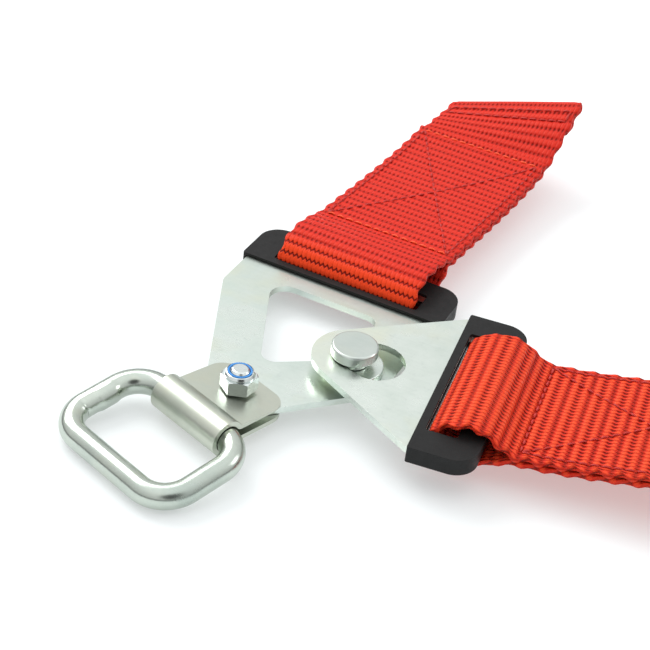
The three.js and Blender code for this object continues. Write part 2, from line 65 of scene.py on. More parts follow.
def placed(points, rotation, origin):
    """Millimetre points of a local frame, as metres in the shared frame."""
    return (points @ rotation.T + origin) * MM + STUD


tongue_origin = np.array([
    TONGUE_REACH * math.cos(TONGUE_ANGLE), TONGUE_REACH * math.sin(TONGUE_ANGLE), TONGUE_TOP])
TONGUE_FRAME = (turn("Z", TONGUE_ANGLE - math.pi / 2), tongue_origin)
MAIN_FRAME = (np.eye(3), GUARD_MAIN)
BRACKET_FRAME = (turn("Z", BRACKET_ANGLE), BOLT)


# ---------------------------------------------------------------- material helpers
class Nodes:
    """A new material and short calls that add and link its nodes."""

    def __init__(self, name):
        self.material = bpy.data.materials.new(name)
        self.material.use_nodes = True
        self.tree = self.material.node_tree
        self.shader = self.tree.nodes["Principled BSDF"]

    def add(self, kind, inputs=(), **settings):
        node = self.tree.nodes.new("ShaderNode" + kind)
        for key, value in settings.items():
            setattr(node, key, value)
        for key, value in dict(inputs).items():
            self.put(node.inputs[key], value)
        return node

    def put(self, socket, value):
        if isinstance(value, bpy.types.NodeSocket):
            self.tree.links.new(value, socket)
        else:
            socket.default_value = value

    def math(self, operation, a, b=0.0, c=None, clamp=False):
        node = self.add("Math", {0: a, 1: b}, operation=operation, use_clamp=clamp)
        if c is not None:
            self.put(node.inputs[2], c)
        return node.outputs[0]

    def noise(self, scale, detail=3.0, vector=None, roughness=0.55):
        node = self.add("TexNoise", {"Scale": scale, "Detail": detail, "Roughness": roughness})
        if vector is None:
            vector = self.add("TexCoord").outputs["Object"]
        self.put(node.inputs["Vector"], vector)
        return node.outputs["Fac"]

    def spread(self, value, low, high, to_low=0.0, to_high=1.0):
        node = self.add("MapRange", {
            "Value": value, "From Min": low, "From Max": high, "To Min": to_low, "To Max": to_high})
        return node.outputs["Result"]

    def mix(self, factor, a, b, mode="MIX"):
        node = self.add("Mix", data_type="RGBA", blend_type=mode)
        self.put(node.inputs["Factor"], factor)
        self.put(node.inputs[6], a)
        self.put(node.inputs[7], b)
        return node.outputs[2]

    def bump(self, height, distance, strength=1.0, normal=None):
        node = self.add("Bump", {"Height": height, "Distance": distance, "Strength": strength})
        if normal is not None:
            self.put(node.inputs["Normal"], normal)
        return node.outputs["Normal"]

    def principled(self, **values):
        for key, value in values.items():
            self.put(self.shader.inputs[key.replace("_", " ")], value)
        return self.material


def rgb(red, green, blue):
    return (red, green, blue, 1.0)


def zinc(name, light, dark, tint, rough, grain=0.00002):
    """Zinc plating: mottled pale grey with faint passivation tints, rolling marks and fine pitting."""
    n = Nodes(name)
    where = n.add("TexCoord").outputs["Object"]
    stretched = n.add("Mapping", {"Vector": where, "Scale": (60.0, 700.0, 400.0)}).outputs[0]
    cloud = n.spread(n.noise(70.0, 4.0, where), 0.35, 0.68)
    lines = n.noise(1.0, 2.0, stretched)
    pits = n.noise(1500.0, 2.0, where)
    speckle = n.spread(n.noise(420.0, 4.0, where, 0.7), 0.55, 0.75, 0.0, 0.35)
    base = n.mix(cloud, light, dark)
    base = n.mix(n.spread(n.noise(45.0, 3.0, where), 0.48, 0.70, 0.0, 0.7), base, tint)
    base = n.mix(n.spread(lines, 0.3, 0.7, 0.0, 0.10), base, rgb(0.42, 0.46, 0.44))
    base = n.mix(speckle, base, rgb(0.50, 0.56, 0.53))
    rough_map = n.spread(n.math("ADD", n.math("MULTIPLY", cloud, 0.6), n.math("MULTIPLY", lines, 0.4)),
                         0.1, 0.9, rough[0], rough[1])
    normal = n.bump(pits, grain, 0.5, n.bump(n.noise(220.0, 3.0, where), grain * 2, 0.6))
    return n.principled(Base_Color=base, Metallic=1.0, Roughness=rough_map, Normal=normal)


def moulded(name):
    """Charcoal plastic with a fine spark-eroded grain and a few scuffs."""
    n = Nodes(name)
    where = n.add("TexCoord").outputs["Object"]
    grain = n.noise(2600.0, 3.0, where, 0.7)
    scuff = n.spread(n.noise(90.0, 5.0, where, 0.7), 0.58, 0.75)
    base = n.mix(n.spread(grain, 0.3, 0.7), rgb(0.009, 0.009, 0.009), rgb(0.014, 0.014, 0.014))
    base = n.mix(n.math("MULTIPLY", scuff, 0.2), base, rgb(0.035, 0.035, 0.035))
    rough = n.spread(n.noise(400.0, 3.0, where), 0.3, 0.7, 0.42, 0.60)
    return n.principled(
        Base_Color=base, Roughness=rough, Normal=n.bump(grain, 0.00006, 0.5), Specular_IOR_Level=0.22)


def nylon_material():
    n = Nodes("blue_nylon")
    tone = n.noise(500.0, 2.0)
    base = n.mix(tone, rgb(0.03, 0.20, 0.58), rgb(0.06, 0.32, 0.75))
    return n.principled(Base_Color=base, Roughness=n.spread(tone, 0.2, 0.8, 0.25, 0.4),
                        Normal=n.bump(tone, 0.00003, 0.4))


# the relief of the web, the same in its material and in its mesh
VALLEY_DEPTH, VALLEY_WIDTH = 0.28, 0.2      # between two ribs
PIT_DEPTH = 0.6                             # between two floats of a column
ZIGZAG_DEPTH = 0.85                         # between two rows of floats where a fold opens them
ROWS_BELOW = 4000.0                         # an even number, so that every row counts from above zero


def weave_height(n, ribs, columns, fold, dots):
    """Relief of the weave from the web's own coordinates, ribs along it and columns across it."""
    wide, narrow, slant, seam_depth = dots

    def hollow(a, a_width, b=0.0, b_width=1.0):
        away = n.math("ADD", n.math("POWER", n.math("DIVIDE", a, a_width), 2.0),
                      n.math("POWER", n.math("DIVIDE", b, b_width), 2.0))
        return n.math("EXPONENT", n.math("MULTIPLY", away, -1.0))

    row = n.math("ROUND", ribs)
    gap = n.math("SUBTRACT", ribs, row)
    odd = n.math("MULTIPLY", n.math("MODULO", n.math("ADD", row, ROWS_BELOW), 2.0), 0.5)
    place = n.math("ADD", n.math("MULTIPLY_ADD", gap, slant, columns), odd)
    dot = hollow(gap, wide, n.math("SUBTRACT", place, n.math("ROUND", place)), narrow)
    valley = hollow(gap, VALLEY_WIDTH)
    shifted = n.math("ADD", columns, 0.5)
    seam = hollow(n.math("SUBTRACT", shifted, n.math("ROUND", shifted)), 0.14)
    zigzag = n.math("ABSOLUTE", n.math("SUBTRACT", columns, n.math("ROUND", columns)))
    crossing = hollow(n.math("MULTIPLY_ADD", n.math("SUBTRACT", zigzag, 0.25), 0.5, gap), 0.10)
    flat = n.math("MULTIPLY_ADD", dot, -PIT_DEPTH, n.math("MULTIPLY_ADD", valley, -VALLEY_DEPTH, 1.0))
    bent = n.math("MULTIPLY_ADD", crossing, -ZIGZAG_DEPTH, 1.0)
    mixed = n.math("MULTIPLY_ADD", n.math("SUBTRACT", bent, flat), fold, flat)
    return n.math("MULTIPLY_ADD", seam, -seam_depth, mixed, clamp=True)


# Red webbing: the first colour is a painted highlight on the crowns and also the lighter cloud tone; the
# third is a painted shade in the pits and also the dark of the fibres.
def webbing_material(name, highlight_and_cloud_red, mid, dark, depth, dots):
    n = Nodes(name)
    uv = n.add("SeparateXYZ", {0: n.add("UVMap", uv_map="weave").outputs[0]})
    ribs, columns = uv.outputs[0], uv.outputs[1]
    fold = n.add("Attribute", attribute_name="fold").outputs["Fac"]
    floats = weave_height(n, ribs, columns, fold, dots)
    relief = n.add("Attribute", attribute_name="relief").outputs["Fac"]
    fibre_place = n.add("CombineXYZ", {0: n.math("MULTIPLY", ribs, 1.3), 1: n.math("MULTIPLY", columns, 9.0)})
    fibres = n.noise(1.0, 3.0, fibre_place.outputs[0], 0.65)
    cloud = n.noise(35.0, 3.0)
    height = n.math("ADD", n.math("MULTIPLY", floats, 0.7), n.math("MULTIPLY", relief, 0.3))
    # painted shade: the relief's pits and valleys are coloured towards the dark red; painted highlight: its
    # crowns are coloured towards the bright red
    base = n.mix(n.spread(height, 0.20, 0.66), dark, mid)
    base = n.mix(n.spread(height, 0.66, 1.0, 0.0, 0.9), base, highlight_and_cloud_red)
    base = n.mix(n.spread(fibres, 0.42, 0.75, 0.0, 0.38), base, dark)
    base = n.mix(n.spread(cloud, 0.35, 0.7, 0.0, 0.15), base, highlight_and_cloud_red)
    # painted highlight: the crowns of the opened fold are coloured bright orange
    fold_painted_highlight = n.math("MULTIPLY", fold, n.spread(floats, 0.45, 0.85))
    base = n.mix(n.math("MULTIPLY", fold_painted_highlight, 0.7), base, rgb(1.0, 0.075, 0.012))
    # painted shade: the zigzag pits of the opened fold are coloured dark
    fold_painted_shade = n.math("MULTIPLY", fold, n.spread(floats, 0.50, 0.25))
    base = n.mix(n.math("MULTIPLY", fold_painted_shade, 0.8), base, dark)
    normal = n.bump(floats, depth, 1.0)
    normal = n.bump(fibres, 0.00008, 0.55, normal)
    return n.principled(
        Base_Color=base, Roughness=n.spread(fibres, 0.3, 0.7, 0.38, 0.58), Normal=normal,
        Sheen_Weight=0.04, Sheen_Roughness=0.5, Sheen_Tint=rgb(1.0, 0.25, 0.12), Specular_IOR_Level=0.28,
        Specular_Tint=rgb(1.0, 0.55, 0.42))


def thread_material(name, light, dark):
    n = Nodes(name)
    where = n.add("TexCoord").outputs["Object"]
    twist = n.add("TexWave", {"Vector": where, "Scale": 700.0, "Distortion": 1.5}, bands_direction="DIAGONAL")
    base = n.mix(twist.outputs["Fac"], dark, light)
    rough = n.spread(twist.outputs["Fac"], 0.0, 1.0, 0.45, 0.6)
    return n.principled(Base_Color=base, Roughness=rough, Normal=n.bump(twist.outputs["Fac"], 0.00006, 0.5))


plate_zinc = zinc(
    "zinc_plate", rgb(0.75, 0.82, 0.765), rgb(0.57, 0.65, 0.60), rgb(0.68, 0.72, 0.58), (0.24, 0.40))
tongue_zinc = zinc(
    "zinc_tongue", rgb(0.80, 0.865, 0.805), rgb(0.64, 0.71, 0.65), rgb(0.78, 0.80, 0.64), (0.24, 0.40))
ring_zinc = zinc(
    "zinc_ring", rgb(0.57, 0.62, 0.555), rgb(0.44, 0.50, 0.45), rgb(0.52, 0.52, 0.36), (0.16, 0.30),
    grain=0.00001)
satin_zinc = zinc(
    "zinc_satin", rgb(0.60, 0.63, 0.54), rgb(0.50, 0.54, 0.46), rgb(0.58, 0.57, 0.42), (0.28, 0.42))
bright_zinc = zinc(
    "zinc_bright", rgb(0.76, 0.81, 0.80), rgb(0.68, 0.74, 0.74), rgb(0.70, 0.75, 0.76), (0.14, 0.24),
    grain=0.00001)
stud_zinc = zinc(
    "zinc_stud", rgb(0.66, 0.715, 0.67), rgb(0.55, 0.61, 0.57), rgb(0.62, 0.65, 0.52), (0.25, 0.38))
plastic = moulded("charcoal_plastic")
nylon = nylon_material()


# ---------------------------------------------------------------- helpers for objects and meshes
def linked(name, data):
    """A new object for a mesh, light or camera, in the scene."""
    item = bpy.data.objects.new(name, data)
    bpy.context.collection.objects.link(item)
    return item


def face_outwards(mesh):
    work = bmesh.new()
    work.from_mesh(mesh)
    bmesh.ops.recalc_face_normals(work, faces=work.faces)
    work.to_mesh(mesh)
    work.free()


# ---------------------------------------------------------------- hard pieces from their CAD solids
WELD_DISTANCE = 2e-6
FLAT_ANGLE = math.radians(0.5)      # faces that meet at less than this become one
SHARP_ANGLE = math.radians(28)      # edges sharper than this are broken, all others are smooth
BEVEL_SEGMENTS = 3


def refine(node, material, body, finish, bevel):
    """A copy of a CAD node with welded points, broken edges and smooth curved faces."""
    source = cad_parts[node]
    work = bmesh.new()
    work.from_mesh(source.data)
    bmesh.ops.remove_doubles(work, verts=work.verts, dist=WELD_DISTANCE)
    bmesh.ops.dissolve_limit(work, angle_limit=FLAT_ANGLE, verts=work.verts, edges=work.edges)
    for face in work.faces:
        face.smooth = True
    for edge in work.edges:
        edge.smooth = len(edge.link_faces) == 2 and edge.calc_face_angle(0.0) < SHARP_ANGLE
    fresh = bpy.data.meshes.new(node + "_finished")
    work.to_mesh(fresh)
    work.free()
    piece = linked(node + "_finished", fresh)
    piece.matrix_world = source.matrix_world
    edges = piece.modifiers.new("edges", "BEVEL")
    edges.width = bevel * MM
    edges.segments = BEVEL_SEGMENTS
    edges.limit_method = "ANGLE"
    edges.angle_limit = SHARP_ANGLE
    edges.miter_outer = "MITER_ARC"
    edges.use_clamp_overlap = True
    edges.harden_normals = False
    weighted = piece.modifiers.new("normals", "WEIGHTED_NORMAL")
    weighted.keep_sharp = True
    return dress(piece, material, body, finish, node)


def dress(piece, material, body, finish, *nodes, second=None):
    """Give a piece its materials and its body, and hide the CAD nodes that it stands for. finish is not used.
    """
    if second is None:
        piece.data.materials.clear()
    for used in (material, second):
        if used:
            piece.data.materials.append(used)
    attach(piece, body)
    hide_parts(*nodes)
    return piece


refine("main_plate", plate_zinc, "main_body", "zinc_plate", 0.5)
refine("tongue_plate", tongue_zinc, "tongue", "zinc_plate", 0.35)
refine("main_edge_guard", plastic, "main_body", "black_plastic", 0.4)
refine("tongue_edge_guard", plastic, "tongue", "black_plastic", 0.4)
refine("locking_stud", stud_zinc, "main_body", "bright_zinc", 0.25)
refine("stud_collar", plate_zinc, "collar", "zinc_plate", 0.3)
refine("stud_washer", plate_zinc, "main_body", "zinc_plate", 0.15)
refine("ring_bracket", satin_zinc, "bracket", "satin_zinc", 0.3)
refine("bracket_bolt", bright_zinc, "main_body", "bright_zinc", 0.2)
refine("bracket_washer", plate_zinc, "main_body", "zinc_plate", 0.15)
refine("lock_nut", bright_zinc, "main_body", "bright_zinc", 0.18)
refine("nylon_insert", nylon, "main_body", "blue_nylon", 0.12)
refine("anchor_tab", plate_zinc, "anchor", "zinc_plate", 0.4)


# ---------------------------------------------------------------- mesh from rows of points
def skin(name, rows, closed_rows, cap, uv=None, **painted):
    """A smooth mesh through rows of points; each row is a closed loop."""
    count, around = rows.shape[:2]
    index = np.arange(count * around).reshape(count, around)
    ahead = np.roll(index, -1, axis=0) if closed_rows else index[1:]
    here = index if closed_rows else index[:-1]
    quads = np.stack([here, np.roll(here, -1, 1), np.roll(ahead, -1, 1), ahead], axis=-1).reshape(-1, 4)
    points = rows.reshape(-1, 3)
    faces = quads.tolist()
    if cap:
        first, last = len(points), len(points) + 1
        points = np.vstack([points, rows[0].mean(0), rows[-1].mean(0)])
        for k in range(around):
            n = (k + 1) % around
            faces.append([int(index[0, n]), int(index[0, k]), first])
            faces.append([int(index[-1, k]), int(index[-1, n]), last])
    mesh = bpy.data.meshes.new(name)
    mesh.from_pydata(points.tolist(), [], faces)
    mesh.polygons.foreach_set("use_smooth", np.ones(len(mesh.polygons), bool))
    extra = len(points) - count * around
    if uv is not None:
        flat = np.vstack([uv.reshape(-1, 2), np.zeros((extra, 2))])
        layer = mesh.uv_layers.new(name="weave")
        corners = np.zeros(len(mesh.loops), np.int32)
        mesh.loops.foreach_get("vertex_index", corners)
        layer.data.foreach_set("uv", flat[corners].ravel())
    for key, value in painted.items():
        values = np.concatenate([value.ravel(), np.zeros(extra)])
        mesh.attributes.new(key, "FLOAT", "POINT").data.foreach_set("value", values)
    mesh.update()
    face_outwards(mesh)
    return linked(name, mesh)


# ---------------------------------------------------------------- the welded ring
RING_BAR, RING_HALF, RING_DEPTH, RING_CORNER = 4.0, 23.6, 31.4, 9.8     # bar radius, then its middle line
RING_INSET = 0.12                       # the skin stays this far inside the CAD bar
BEAD_LOW, BEAD_HIGH, BEAD_RISE = -18.5, -11.0, 0.42
NOTCH_LOW, NOTCH_HIGH, NOTCH_DEPTH = -24.5, -23.4, 0.30
CORNER_STATIONS, BAR_SIDES, BAR_STEP = 25, 48, 0.8


def ring_middle_line():
    """Points round the ring with the direction that faces outwards, on straight legs and round corners."""
    near, far = RING_HALF - RING_CORNER, RING_CORNER - RING_DEPTH
    corners = [(near, -RING_CORNER), (near, far), (-near, far), (-near, -RING_CORNER)]
    path = []
    for k, (x, y) in enumerate(corners):
        for angle in np.linspace(0, -math.pi / 2, CORNER_STATIONS) + math.pi / 2 - k * math.pi / 2:
            path.append((x + RING_CORNER * math.cos(angle), y + RING_CORNER * math.sin(angle), angle))
    dense = []
    for here, ahead in zip(path, path[1:] + path[:1]):
        count = max(1, int(math.dist(here[:2], ahead[:2]) / BAR_STEP))
        for t in np.arange(count) / count:
            dense.append([here[i] + (ahead[i] - here[i]) * t for i in (0, 1)] + [here[2]])
    return dense


def ring_piece():
    """The bar of the ring, with its weld bead and a small notch on the inside of the left leg."""
    around = np.linspace(0, 2 * math.pi, BAR_SIDES, endpoint=False)
    inner = np.clip(-np.cos(around), 0, 1)
    rows = []
    for x, y, angle in ring_middle_line():
        swell = np.zeros_like(around)
        on_left = x < -RING_HALF + 1.5
        if on_left and BEAD_LOW < y < BEAD_HIGH:
            edge = min(y - BEAD_LOW, BEAD_HIGH - y, 0.8) / 0.8
            swell += BEAD_RISE * edge * inner ** 0.7
        if on_left and NOTCH_LOW < y < NOTCH_HIGH:
            swell -= NOTCH_DEPTH * inner
        radius = RING_BAR - RING_INSET + swell
        out = radius * np.cos(around)
        rows.append(np.stack([
            x + out * math.cos(angle), y + out * math.sin(angle), radius * np.sin(around)], 1))
    rows = np.array(rows) @ turn("X", RING_DROOP).T + RING_PLACE
    return skin("ring_bar", placed(rows, *BRACKET_FRAME), True, False)


dress(ring_piece(), ring_zinc, "ring", "bright_zinc", "webbing_ring")


# ---------------------------------------------------------------- the webbing's route
# It follows the CAD's, and runs a little closer to the guard's wall inside the slot.
LAYER = 2.1
SEWN_START, TAIL_END = 29.0, 102.5
END_LOOP_Y, END_LOOP_Z, END_LOOP_RADIUS, END_TAIL = 168.0, -7.0, 5.6, 130.0
HEM_FOLD, HEM_BACK = 127.0, 117.0
SWAY_START = 10.0                       # a strap leaves its guard square and drifts sideways from here
BEND_START, BEND_END = 98, 130          # it yaws and rolls between these
END_LOOP_START = 152                    # the tongue strap's route hands over to its end loop here


def ease(y, low, high):
    """A smooth share from 0 at low to 1 at high."""
    t = np.clip((y - low) / (high - low), 0.0, 1.0)
    return t * t * (3 - 2 * t)


class Route:
    """A strap's route from the side, and how it sways, yaws and rolls on the way."""

    def __init__(self, under, loop, sway, yaw, roll):
        self.under = np.array(under, float)
        self.loop = np.array(loop, float)
        self.sway_slope, self.yaw_top, self.roll_top = sway, math.radians(yaw), math.radians(roll)

    def height(self, y):
        """Height of the lower layer's middle at y, on a smooth curve through the given points."""
        pts = self.under
        i = 0
        while i < len(pts) - 2 and pts[i + 1][0] < y:
            i += 1
        (y0, z0), (y1, z1) = pts[i], pts[i + 1]
        before, after = pts[max(i - 1, 0)], pts[min(i + 2, len(pts) - 1)]
        t = (y - y0) / (y1 - y0)
        m0 = (z1 - before[1]) / (y1 - before[0]) * (y1 - y0)
        m1 = (after[1] - z0) / (after[0] - y0) * (y1 - y0)
        return ((2 * t ** 3 - 3 * t ** 2 + 1) * z0 + (t ** 3 - 2 * t ** 2 + t) * m0
                + (3 * t ** 2 - 2 * t ** 3) * z1 + (t ** 3 - t ** 2) * m1)

    def sway(self, y):
        return self.sway_slope * np.maximum(0.0, y - SWAY_START)

    def frames(self, points):
        """Centre, side and up at each side-view point."""
        y = points[:, 0]
        ahead = np.vstack([points[1:], points[-1:]])
        behind = np.vstack([points[:1], points[:-1]])
        along = np.stack([self.sway(ahead[:, 0]) - self.sway(behind[:, 0]),
                          ahead[:, 0] - behind[:, 0], ahead[:, 1] - behind[:, 1]], 1)
        along /= np.linalg.norm(along, axis=1)[:, None]
        bent = ease(y, BEND_START, BEND_END)
        yaw, roll = self.yaw_top * bent, self.roll_top * bent
        side = np.stack([np.cos(roll) * np.cos(yaw), np.cos(roll) * np.sin(yaw), np.sin(roll)], 1)
        up = np.cross(side, along)
        up /= np.linalg.norm(up, axis=1)[:, None]
        centre = np.stack([self.sway(y), y, points[:, 1]], 1)
        return centre, side, up


MAIN_ROUTE = Route(
    [[SEWN_START, 3.9], [34, 3.6], [42, 3.6], [50, 3.4], [66, 3.4], [81, 3.8], [97, 5.2], [106, 7.4],
     [113, 10.2], [120, 12.9], [127, 15.5]],
    [[24.5, 7.1], [17, 8.2], [11.5, 7.7], [6.8, 5.5], [4.2, 2], [3.95, -1.8], [5.8, -5], [10.8, -7.1],
     [16.2, -7.5], [20.8, -5.6], [24, -1.7], [26.4, 1.8]],
    0.08, 8.9, 15.0)
TONGUE_ROUTE = Route(
    [[SEWN_START, -4], [38, -3.5], [47, -2.5], [60, -0.6], [72, 1.1], [85, 1.9], [97, 1.3],
     [108, -0.4], [125, -3], [140, -4.7], [152, -4.9], [160, -3.6]],
    [[25.5, -0.1], [22, 2.4], [18.5, 4.25], [15, 4.7], [10.2, 3.7], [5.9, 1.3], [3.95, -1.8],
     [5.8, -5], [10.8, -7.1], [16.2, -7.55], [21, -6.7], [25, -5.2]],
    -0.05, 0.0, 0.0)


def steps(start, end, step):
    """Even values from start to end, about a step apart."""
    return np.linspace(start, end, max(1, round(abs(end - start) / step)) + 1)


def hermite(points, step):
    """Evenly spaced points on a smooth curve through the given ones."""
    points = np.asarray(points, float)
    keep = np.concatenate([[True], np.linalg.norm(np.diff(points, axis=0), axis=1) > 1e-6])
    points = points[keep]
    for _ in range(2):
        t = np.concatenate([[0], np.cumsum(np.linalg.norm(np.diff(points, axis=0), axis=1))])
        slope = np.gradient(points, t, axis=0)
        want = np.linspace(0, t[-1], max(2, round(t[-1] / step)) + 1)
        i = np.clip(np.searchsorted(t, want, side="right") - 1, 0, len(t) - 2)
        h = (t[i + 1] - t[i])[:, None]
        u = ((want - t[i]) / (t[i + 1] - t[i]))[:, None]
        points = ((2 * u ** 3 - 3 * u ** 2 + 1) * points[i] + (u ** 3 - 2 * u ** 2 + u) * h * slope[i]
                  + (3 * u ** 2 - 2 * u ** 3) * points[i + 1] + (u ** 3 - u ** 2) * h * slope[i + 1])
    return points


def sewn_route(route, last):
    """Side-view points from the sewn tail, round the guard's bar and back below to the last place."""
    upper = [[y, route.height(y) + LAYER] for y in steps(TAIL_END, SEWN_START, 3)]
    first = [route.under[0][0], route.height(route.under[0][0])]
    loop = hermite([upper[-1]] + route.loop.tolist() + [first], 1.6)[1:-1].tolist()
    lower = [[y, route.height(y)] for y in steps(first[0], last, 3)]
    return upper + loop + lower


def main_points():
    """The main strap's points: its sewn route, the fold of its hem and the hem's turned-under end."""
    route = sewn_route(MAIN_ROUTE, HEM_FOLD)
    r = LAYER / 2
    y, z = HEM_FOLD, MAIN_ROUTE.height(HEM_FOLD)
    slope = math.atan2(z - MAIN_ROUTE.height(HEM_FOLD - 2), 2)
    middle_y, middle_z = y + r * math.sin(slope), z - r * math.cos(slope)
    bend = [[middle_y + r * math.cos(a + slope), middle_z + r * math.sin(a + slope)]
            for a in steps(math.pi / 2, -math.pi / 2, math.pi / 8)[1:]]
    back = []
    for d in steps(HEM_FOLD - 3, HEM_BACK, 4):
        s = math.atan2(MAIN_ROUTE.height(d) - MAIN_ROUTE.height(d - 2), 2)
        back.append([d + LAYER * math.sin(s), MAIN_ROUTE.height(d) - LAYER * math.cos(s)])
    return route + bend + back


def tongue_points():
    """The tongue strap's points: its sewn route, the loop for the anchor tab and the loop's sewn end."""
    route = sewn_route(TONGUE_ROUTE, END_LOOP_START)
    circle = [[END_LOOP_Y + END_LOOP_RADIUS * math.cos(math.radians(a)),
               END_LOOP_Z + END_LOOP_RADIUS * math.sin(math.radians(a))] for a in range(75, -76, -30)]
    tail = [[160, END_LOOP_Z - END_LOOP_RADIUS + 1.9],
            [END_LOOP_START + 1, TONGUE_ROUTE.height(END_LOOP_START) - LAYER]]
    bend = hermite([route[-1], [160, -3.2]] + circle + tail, 2.0)[1:].tolist()
    back = [[d, TONGUE_ROUTE.height(d) - LAYER] for d in steps(147, END_TAIL, 5)]
    return route + bend + back


# ---------------------------------------------------------------- woven bands
RIB = 3.38          # one rib of the weave along the strap
BORDER = 22.6       # where the ribs end and the selvedge starts, from the middle
COLUMNS = 28
COLUMN = 2 * BORDER / COLUMNS
RIM_MIDDLE, RIM_REACH = 24.0, 0.95      # the rounded edge's middle, and how far it stands out from there
BOX_FROM, BOX_TO, BOX_HALF = 30.5, 100.0, 22.2
GROOVE_WIDTH = 0.9
FIRST_FOLD_END = 110                    # length from the sewn tail that the opened fold stays within

# dots: half height and half width of the pits between floats, their slant, and the depth of the seams
# face and rim: half thickness in the pits and its rise to the crowns, on the faces and round the edges
FINE_WEAVE = dict(
    dots=(0.17, 0.24, 0.0, 0.16), rib_share=0.35, face=(0.66, 0.34), rim=(0.76, 0.26), scallop=0.42)
LONG_WEAVE = dict(
    dots=(0.30, 0.19, 0.75, 0.32), rib_share=0.6, face=(0.48, 0.52), rim=(0.62, 0.62), scallop=0.62)


def box_lines(low, high, half):
    """The six lines of a sewn box with a cross: two across, two along and the two diagonals."""
    return [(-half, low, half, low), (-half, high, half, high), (-half, low, -half, high),
            (half, low, half, high), (-half, low, half, high), (half, low, -half, high)]


def floats(s, x, fold, dots):
    """Relief of the weave, from pit to crown, like the material's with wider zigzags and no seams."""
    wide, narrow, slant, _ = dots
    ribs, columns = s / RIB, x / COLUMN
    row = np.round(ribs)
    gap = ribs - row
    place = columns + slant * gap + 0.5 * (row % 2)
    dot = np.exp(-(gap / wide) ** 2 - ((place - np.round(place)) / narrow) ** 2)
    zigzag = np.abs(columns - np.round(columns)) - 0.25
    flat = 1 - VALLEY_DEPTH * np.exp(-(gap / VALLEY_WIDTH) ** 2) - PIT_DEPTH * dot
    bent = 1 - ZIGZAG_DEPTH * np.exp(-((gap + 0.5 * zigzag) / 0.16) ** 2)
    return flat + fold * (bent - flat)


def groove(x, y, lines):
    """How far the thread's line pulls the face down, from 0 to 1."""
    pull = np.zeros(np.broadcast(x, y).shape)
    for x0, y0, x1, y1 in lines:
        length = (x1 - x0) ** 2 + (y1 - y0) ** 2
        t = np.clip(((x - x0) * (x1 - x0) + (y - y0) * (y1 - y0)) / length, 0, 1)
        away = np.hypot(x - x0 - t * (x1 - x0), y - y0 - t * (y1 - y0))
        pull = np.maximum(pull, np.exp(-(away / GROOVE_WIDTH) ** 2))
    return pull


def web_section():
    """One loop round the web: its x, its height as a share, and 1 on the faces or 0 on the rims."""
    across = np.linspace(-BORDER, BORDER, COLUMNS * 4 + 1)
    rim = np.linspace(-math.pi / 2, math.pi / 2, 9)[1:-1]
    face = np.concatenate([[-RIM_MIDDLE + 0.4], across, [RIM_MIDDLE - 0.4]])
    level, curved = np.ones(len(face)), np.zeros(len(rim))
    bulge = np.cos(rim) * RIM_REACH
    x = np.concatenate([face, RIM_MIDDLE + bulge, face[::-1], -RIM_MIDDLE - bulge])
    z = np.concatenate([level, -np.sin(rim), -level, np.sin(rim)])
    return x, z, np.concatenate([level, curved, level, curved])


def woven(name, route, points, place, fold_at, weave):
    """A woven band through the side-view points, and its length laid flat."""
    centre, side, up = route.frames(hermite(points, RIB / 4))
    s = np.concatenate([[0], np.cumsum(np.linalg.norm(np.diff(centre, axis=0), axis=1))])
    x_loop, z_loop, on_face = web_section()
    S, X = np.meshgrid(s, x_loop, indexing="ij")
    Z = np.broadcast_to(z_loop, S.shape)
    shift = np.where(Z < 0, RIB / 2, 0.0)

    # the first fold, where the floats open into a zigzag
    fold_y, fold_width, fold_share = fold_at
    bend = np.exp(-((centre[:, 1] - fold_y) / fold_width) ** 2) * (centre[:, 2] > 0) * (s < FIRST_FOLD_END)
    bend = np.broadcast_to((bend * fold_share)[:, None], S.shape)

    # ribs and floats in the middle, a twisted cord along each selvedge
    ribs = np.cos(math.pi * ((S + shift) / RIB - 0.5)) ** 2
    ribs = 1 - (1 - ribs) ** 1.4
    rib_share = weave["rib_share"]
    crown = rib_share * ribs + (1 - rib_share) * floats(S + shift, X, bend, weave["dots"])
    border = np.clip(np.abs(X) - BORDER + 0.5, 0, 1)
    wave = 2 * math.pi * S / (2 * RIB) + np.where(X > 0, 1.1, 0.0)
    knot = 0.5 + 0.5 * np.cos(wave + np.where(Z < 0, math.pi, 0))
    twist = 0.5 + 0.5 * np.cos(2 * math.pi * S / RIB + 1.2 * (np.abs(X) - 23.5))
    cord = 0.55 * knot + 0.45 * twist
    relief = (1 - border) * crown + border * cord

    # the sewn box pulls the upper face down along its lines
    y = np.broadcast_to(centre[:, 1][:, None], S.shape)
    layer_top = (np.arange(len(s)) < np.argmin(centre[:, 1]))[:, None]
    pull = groove(X, y, box_lines(BOX_FROM, BOX_TO, BOX_HALF)) * layer_top * (Z > 0)
    relief = relief * (1 - 0.55 * pull)

    base, rise = weave["face"]
    height = Z * (base + rise * relief) - 0.30 * pull + 0.25 * bend * (Z > 0) * (crown - 0.5)
    rim_base, rim_rise = weave["rim"]
    height = np.where(on_face > 0, height, Z * (rim_base + rim_rise * cord))
    wander = 0.10 * np.sin(S / 7.3 + X / 9.0) + 0.08 * np.sin(S / 3.1 - X / 6.0)
    height = height + 0.25 * wander * (1 - border)
    edge_share = np.clip((np.abs(X) - 23.0) / 1.5, 0, 1)
    out = X + np.sign(X) * edge_share * (weave["scallop"] * np.cos(wave) - 0.1)

    rows = centre[:, None, :] + side[:, None, :] * out[..., None] + up[:, None, :] * height[..., None]
    uv = np.stack([(S + shift) / RIB, X / COLUMN], -1)
    painted = {"relief": np.clip(relief, 0, 1), "fold": bend}
    return skin(name, placed(rows, *place), False, True, uv, **painted), float(s[-1])


STITCH_SPACING = 3.3
STITCH_SIDES, STITCH_STATIONS = 8, 7
THREAD_RADIUS = 0.40


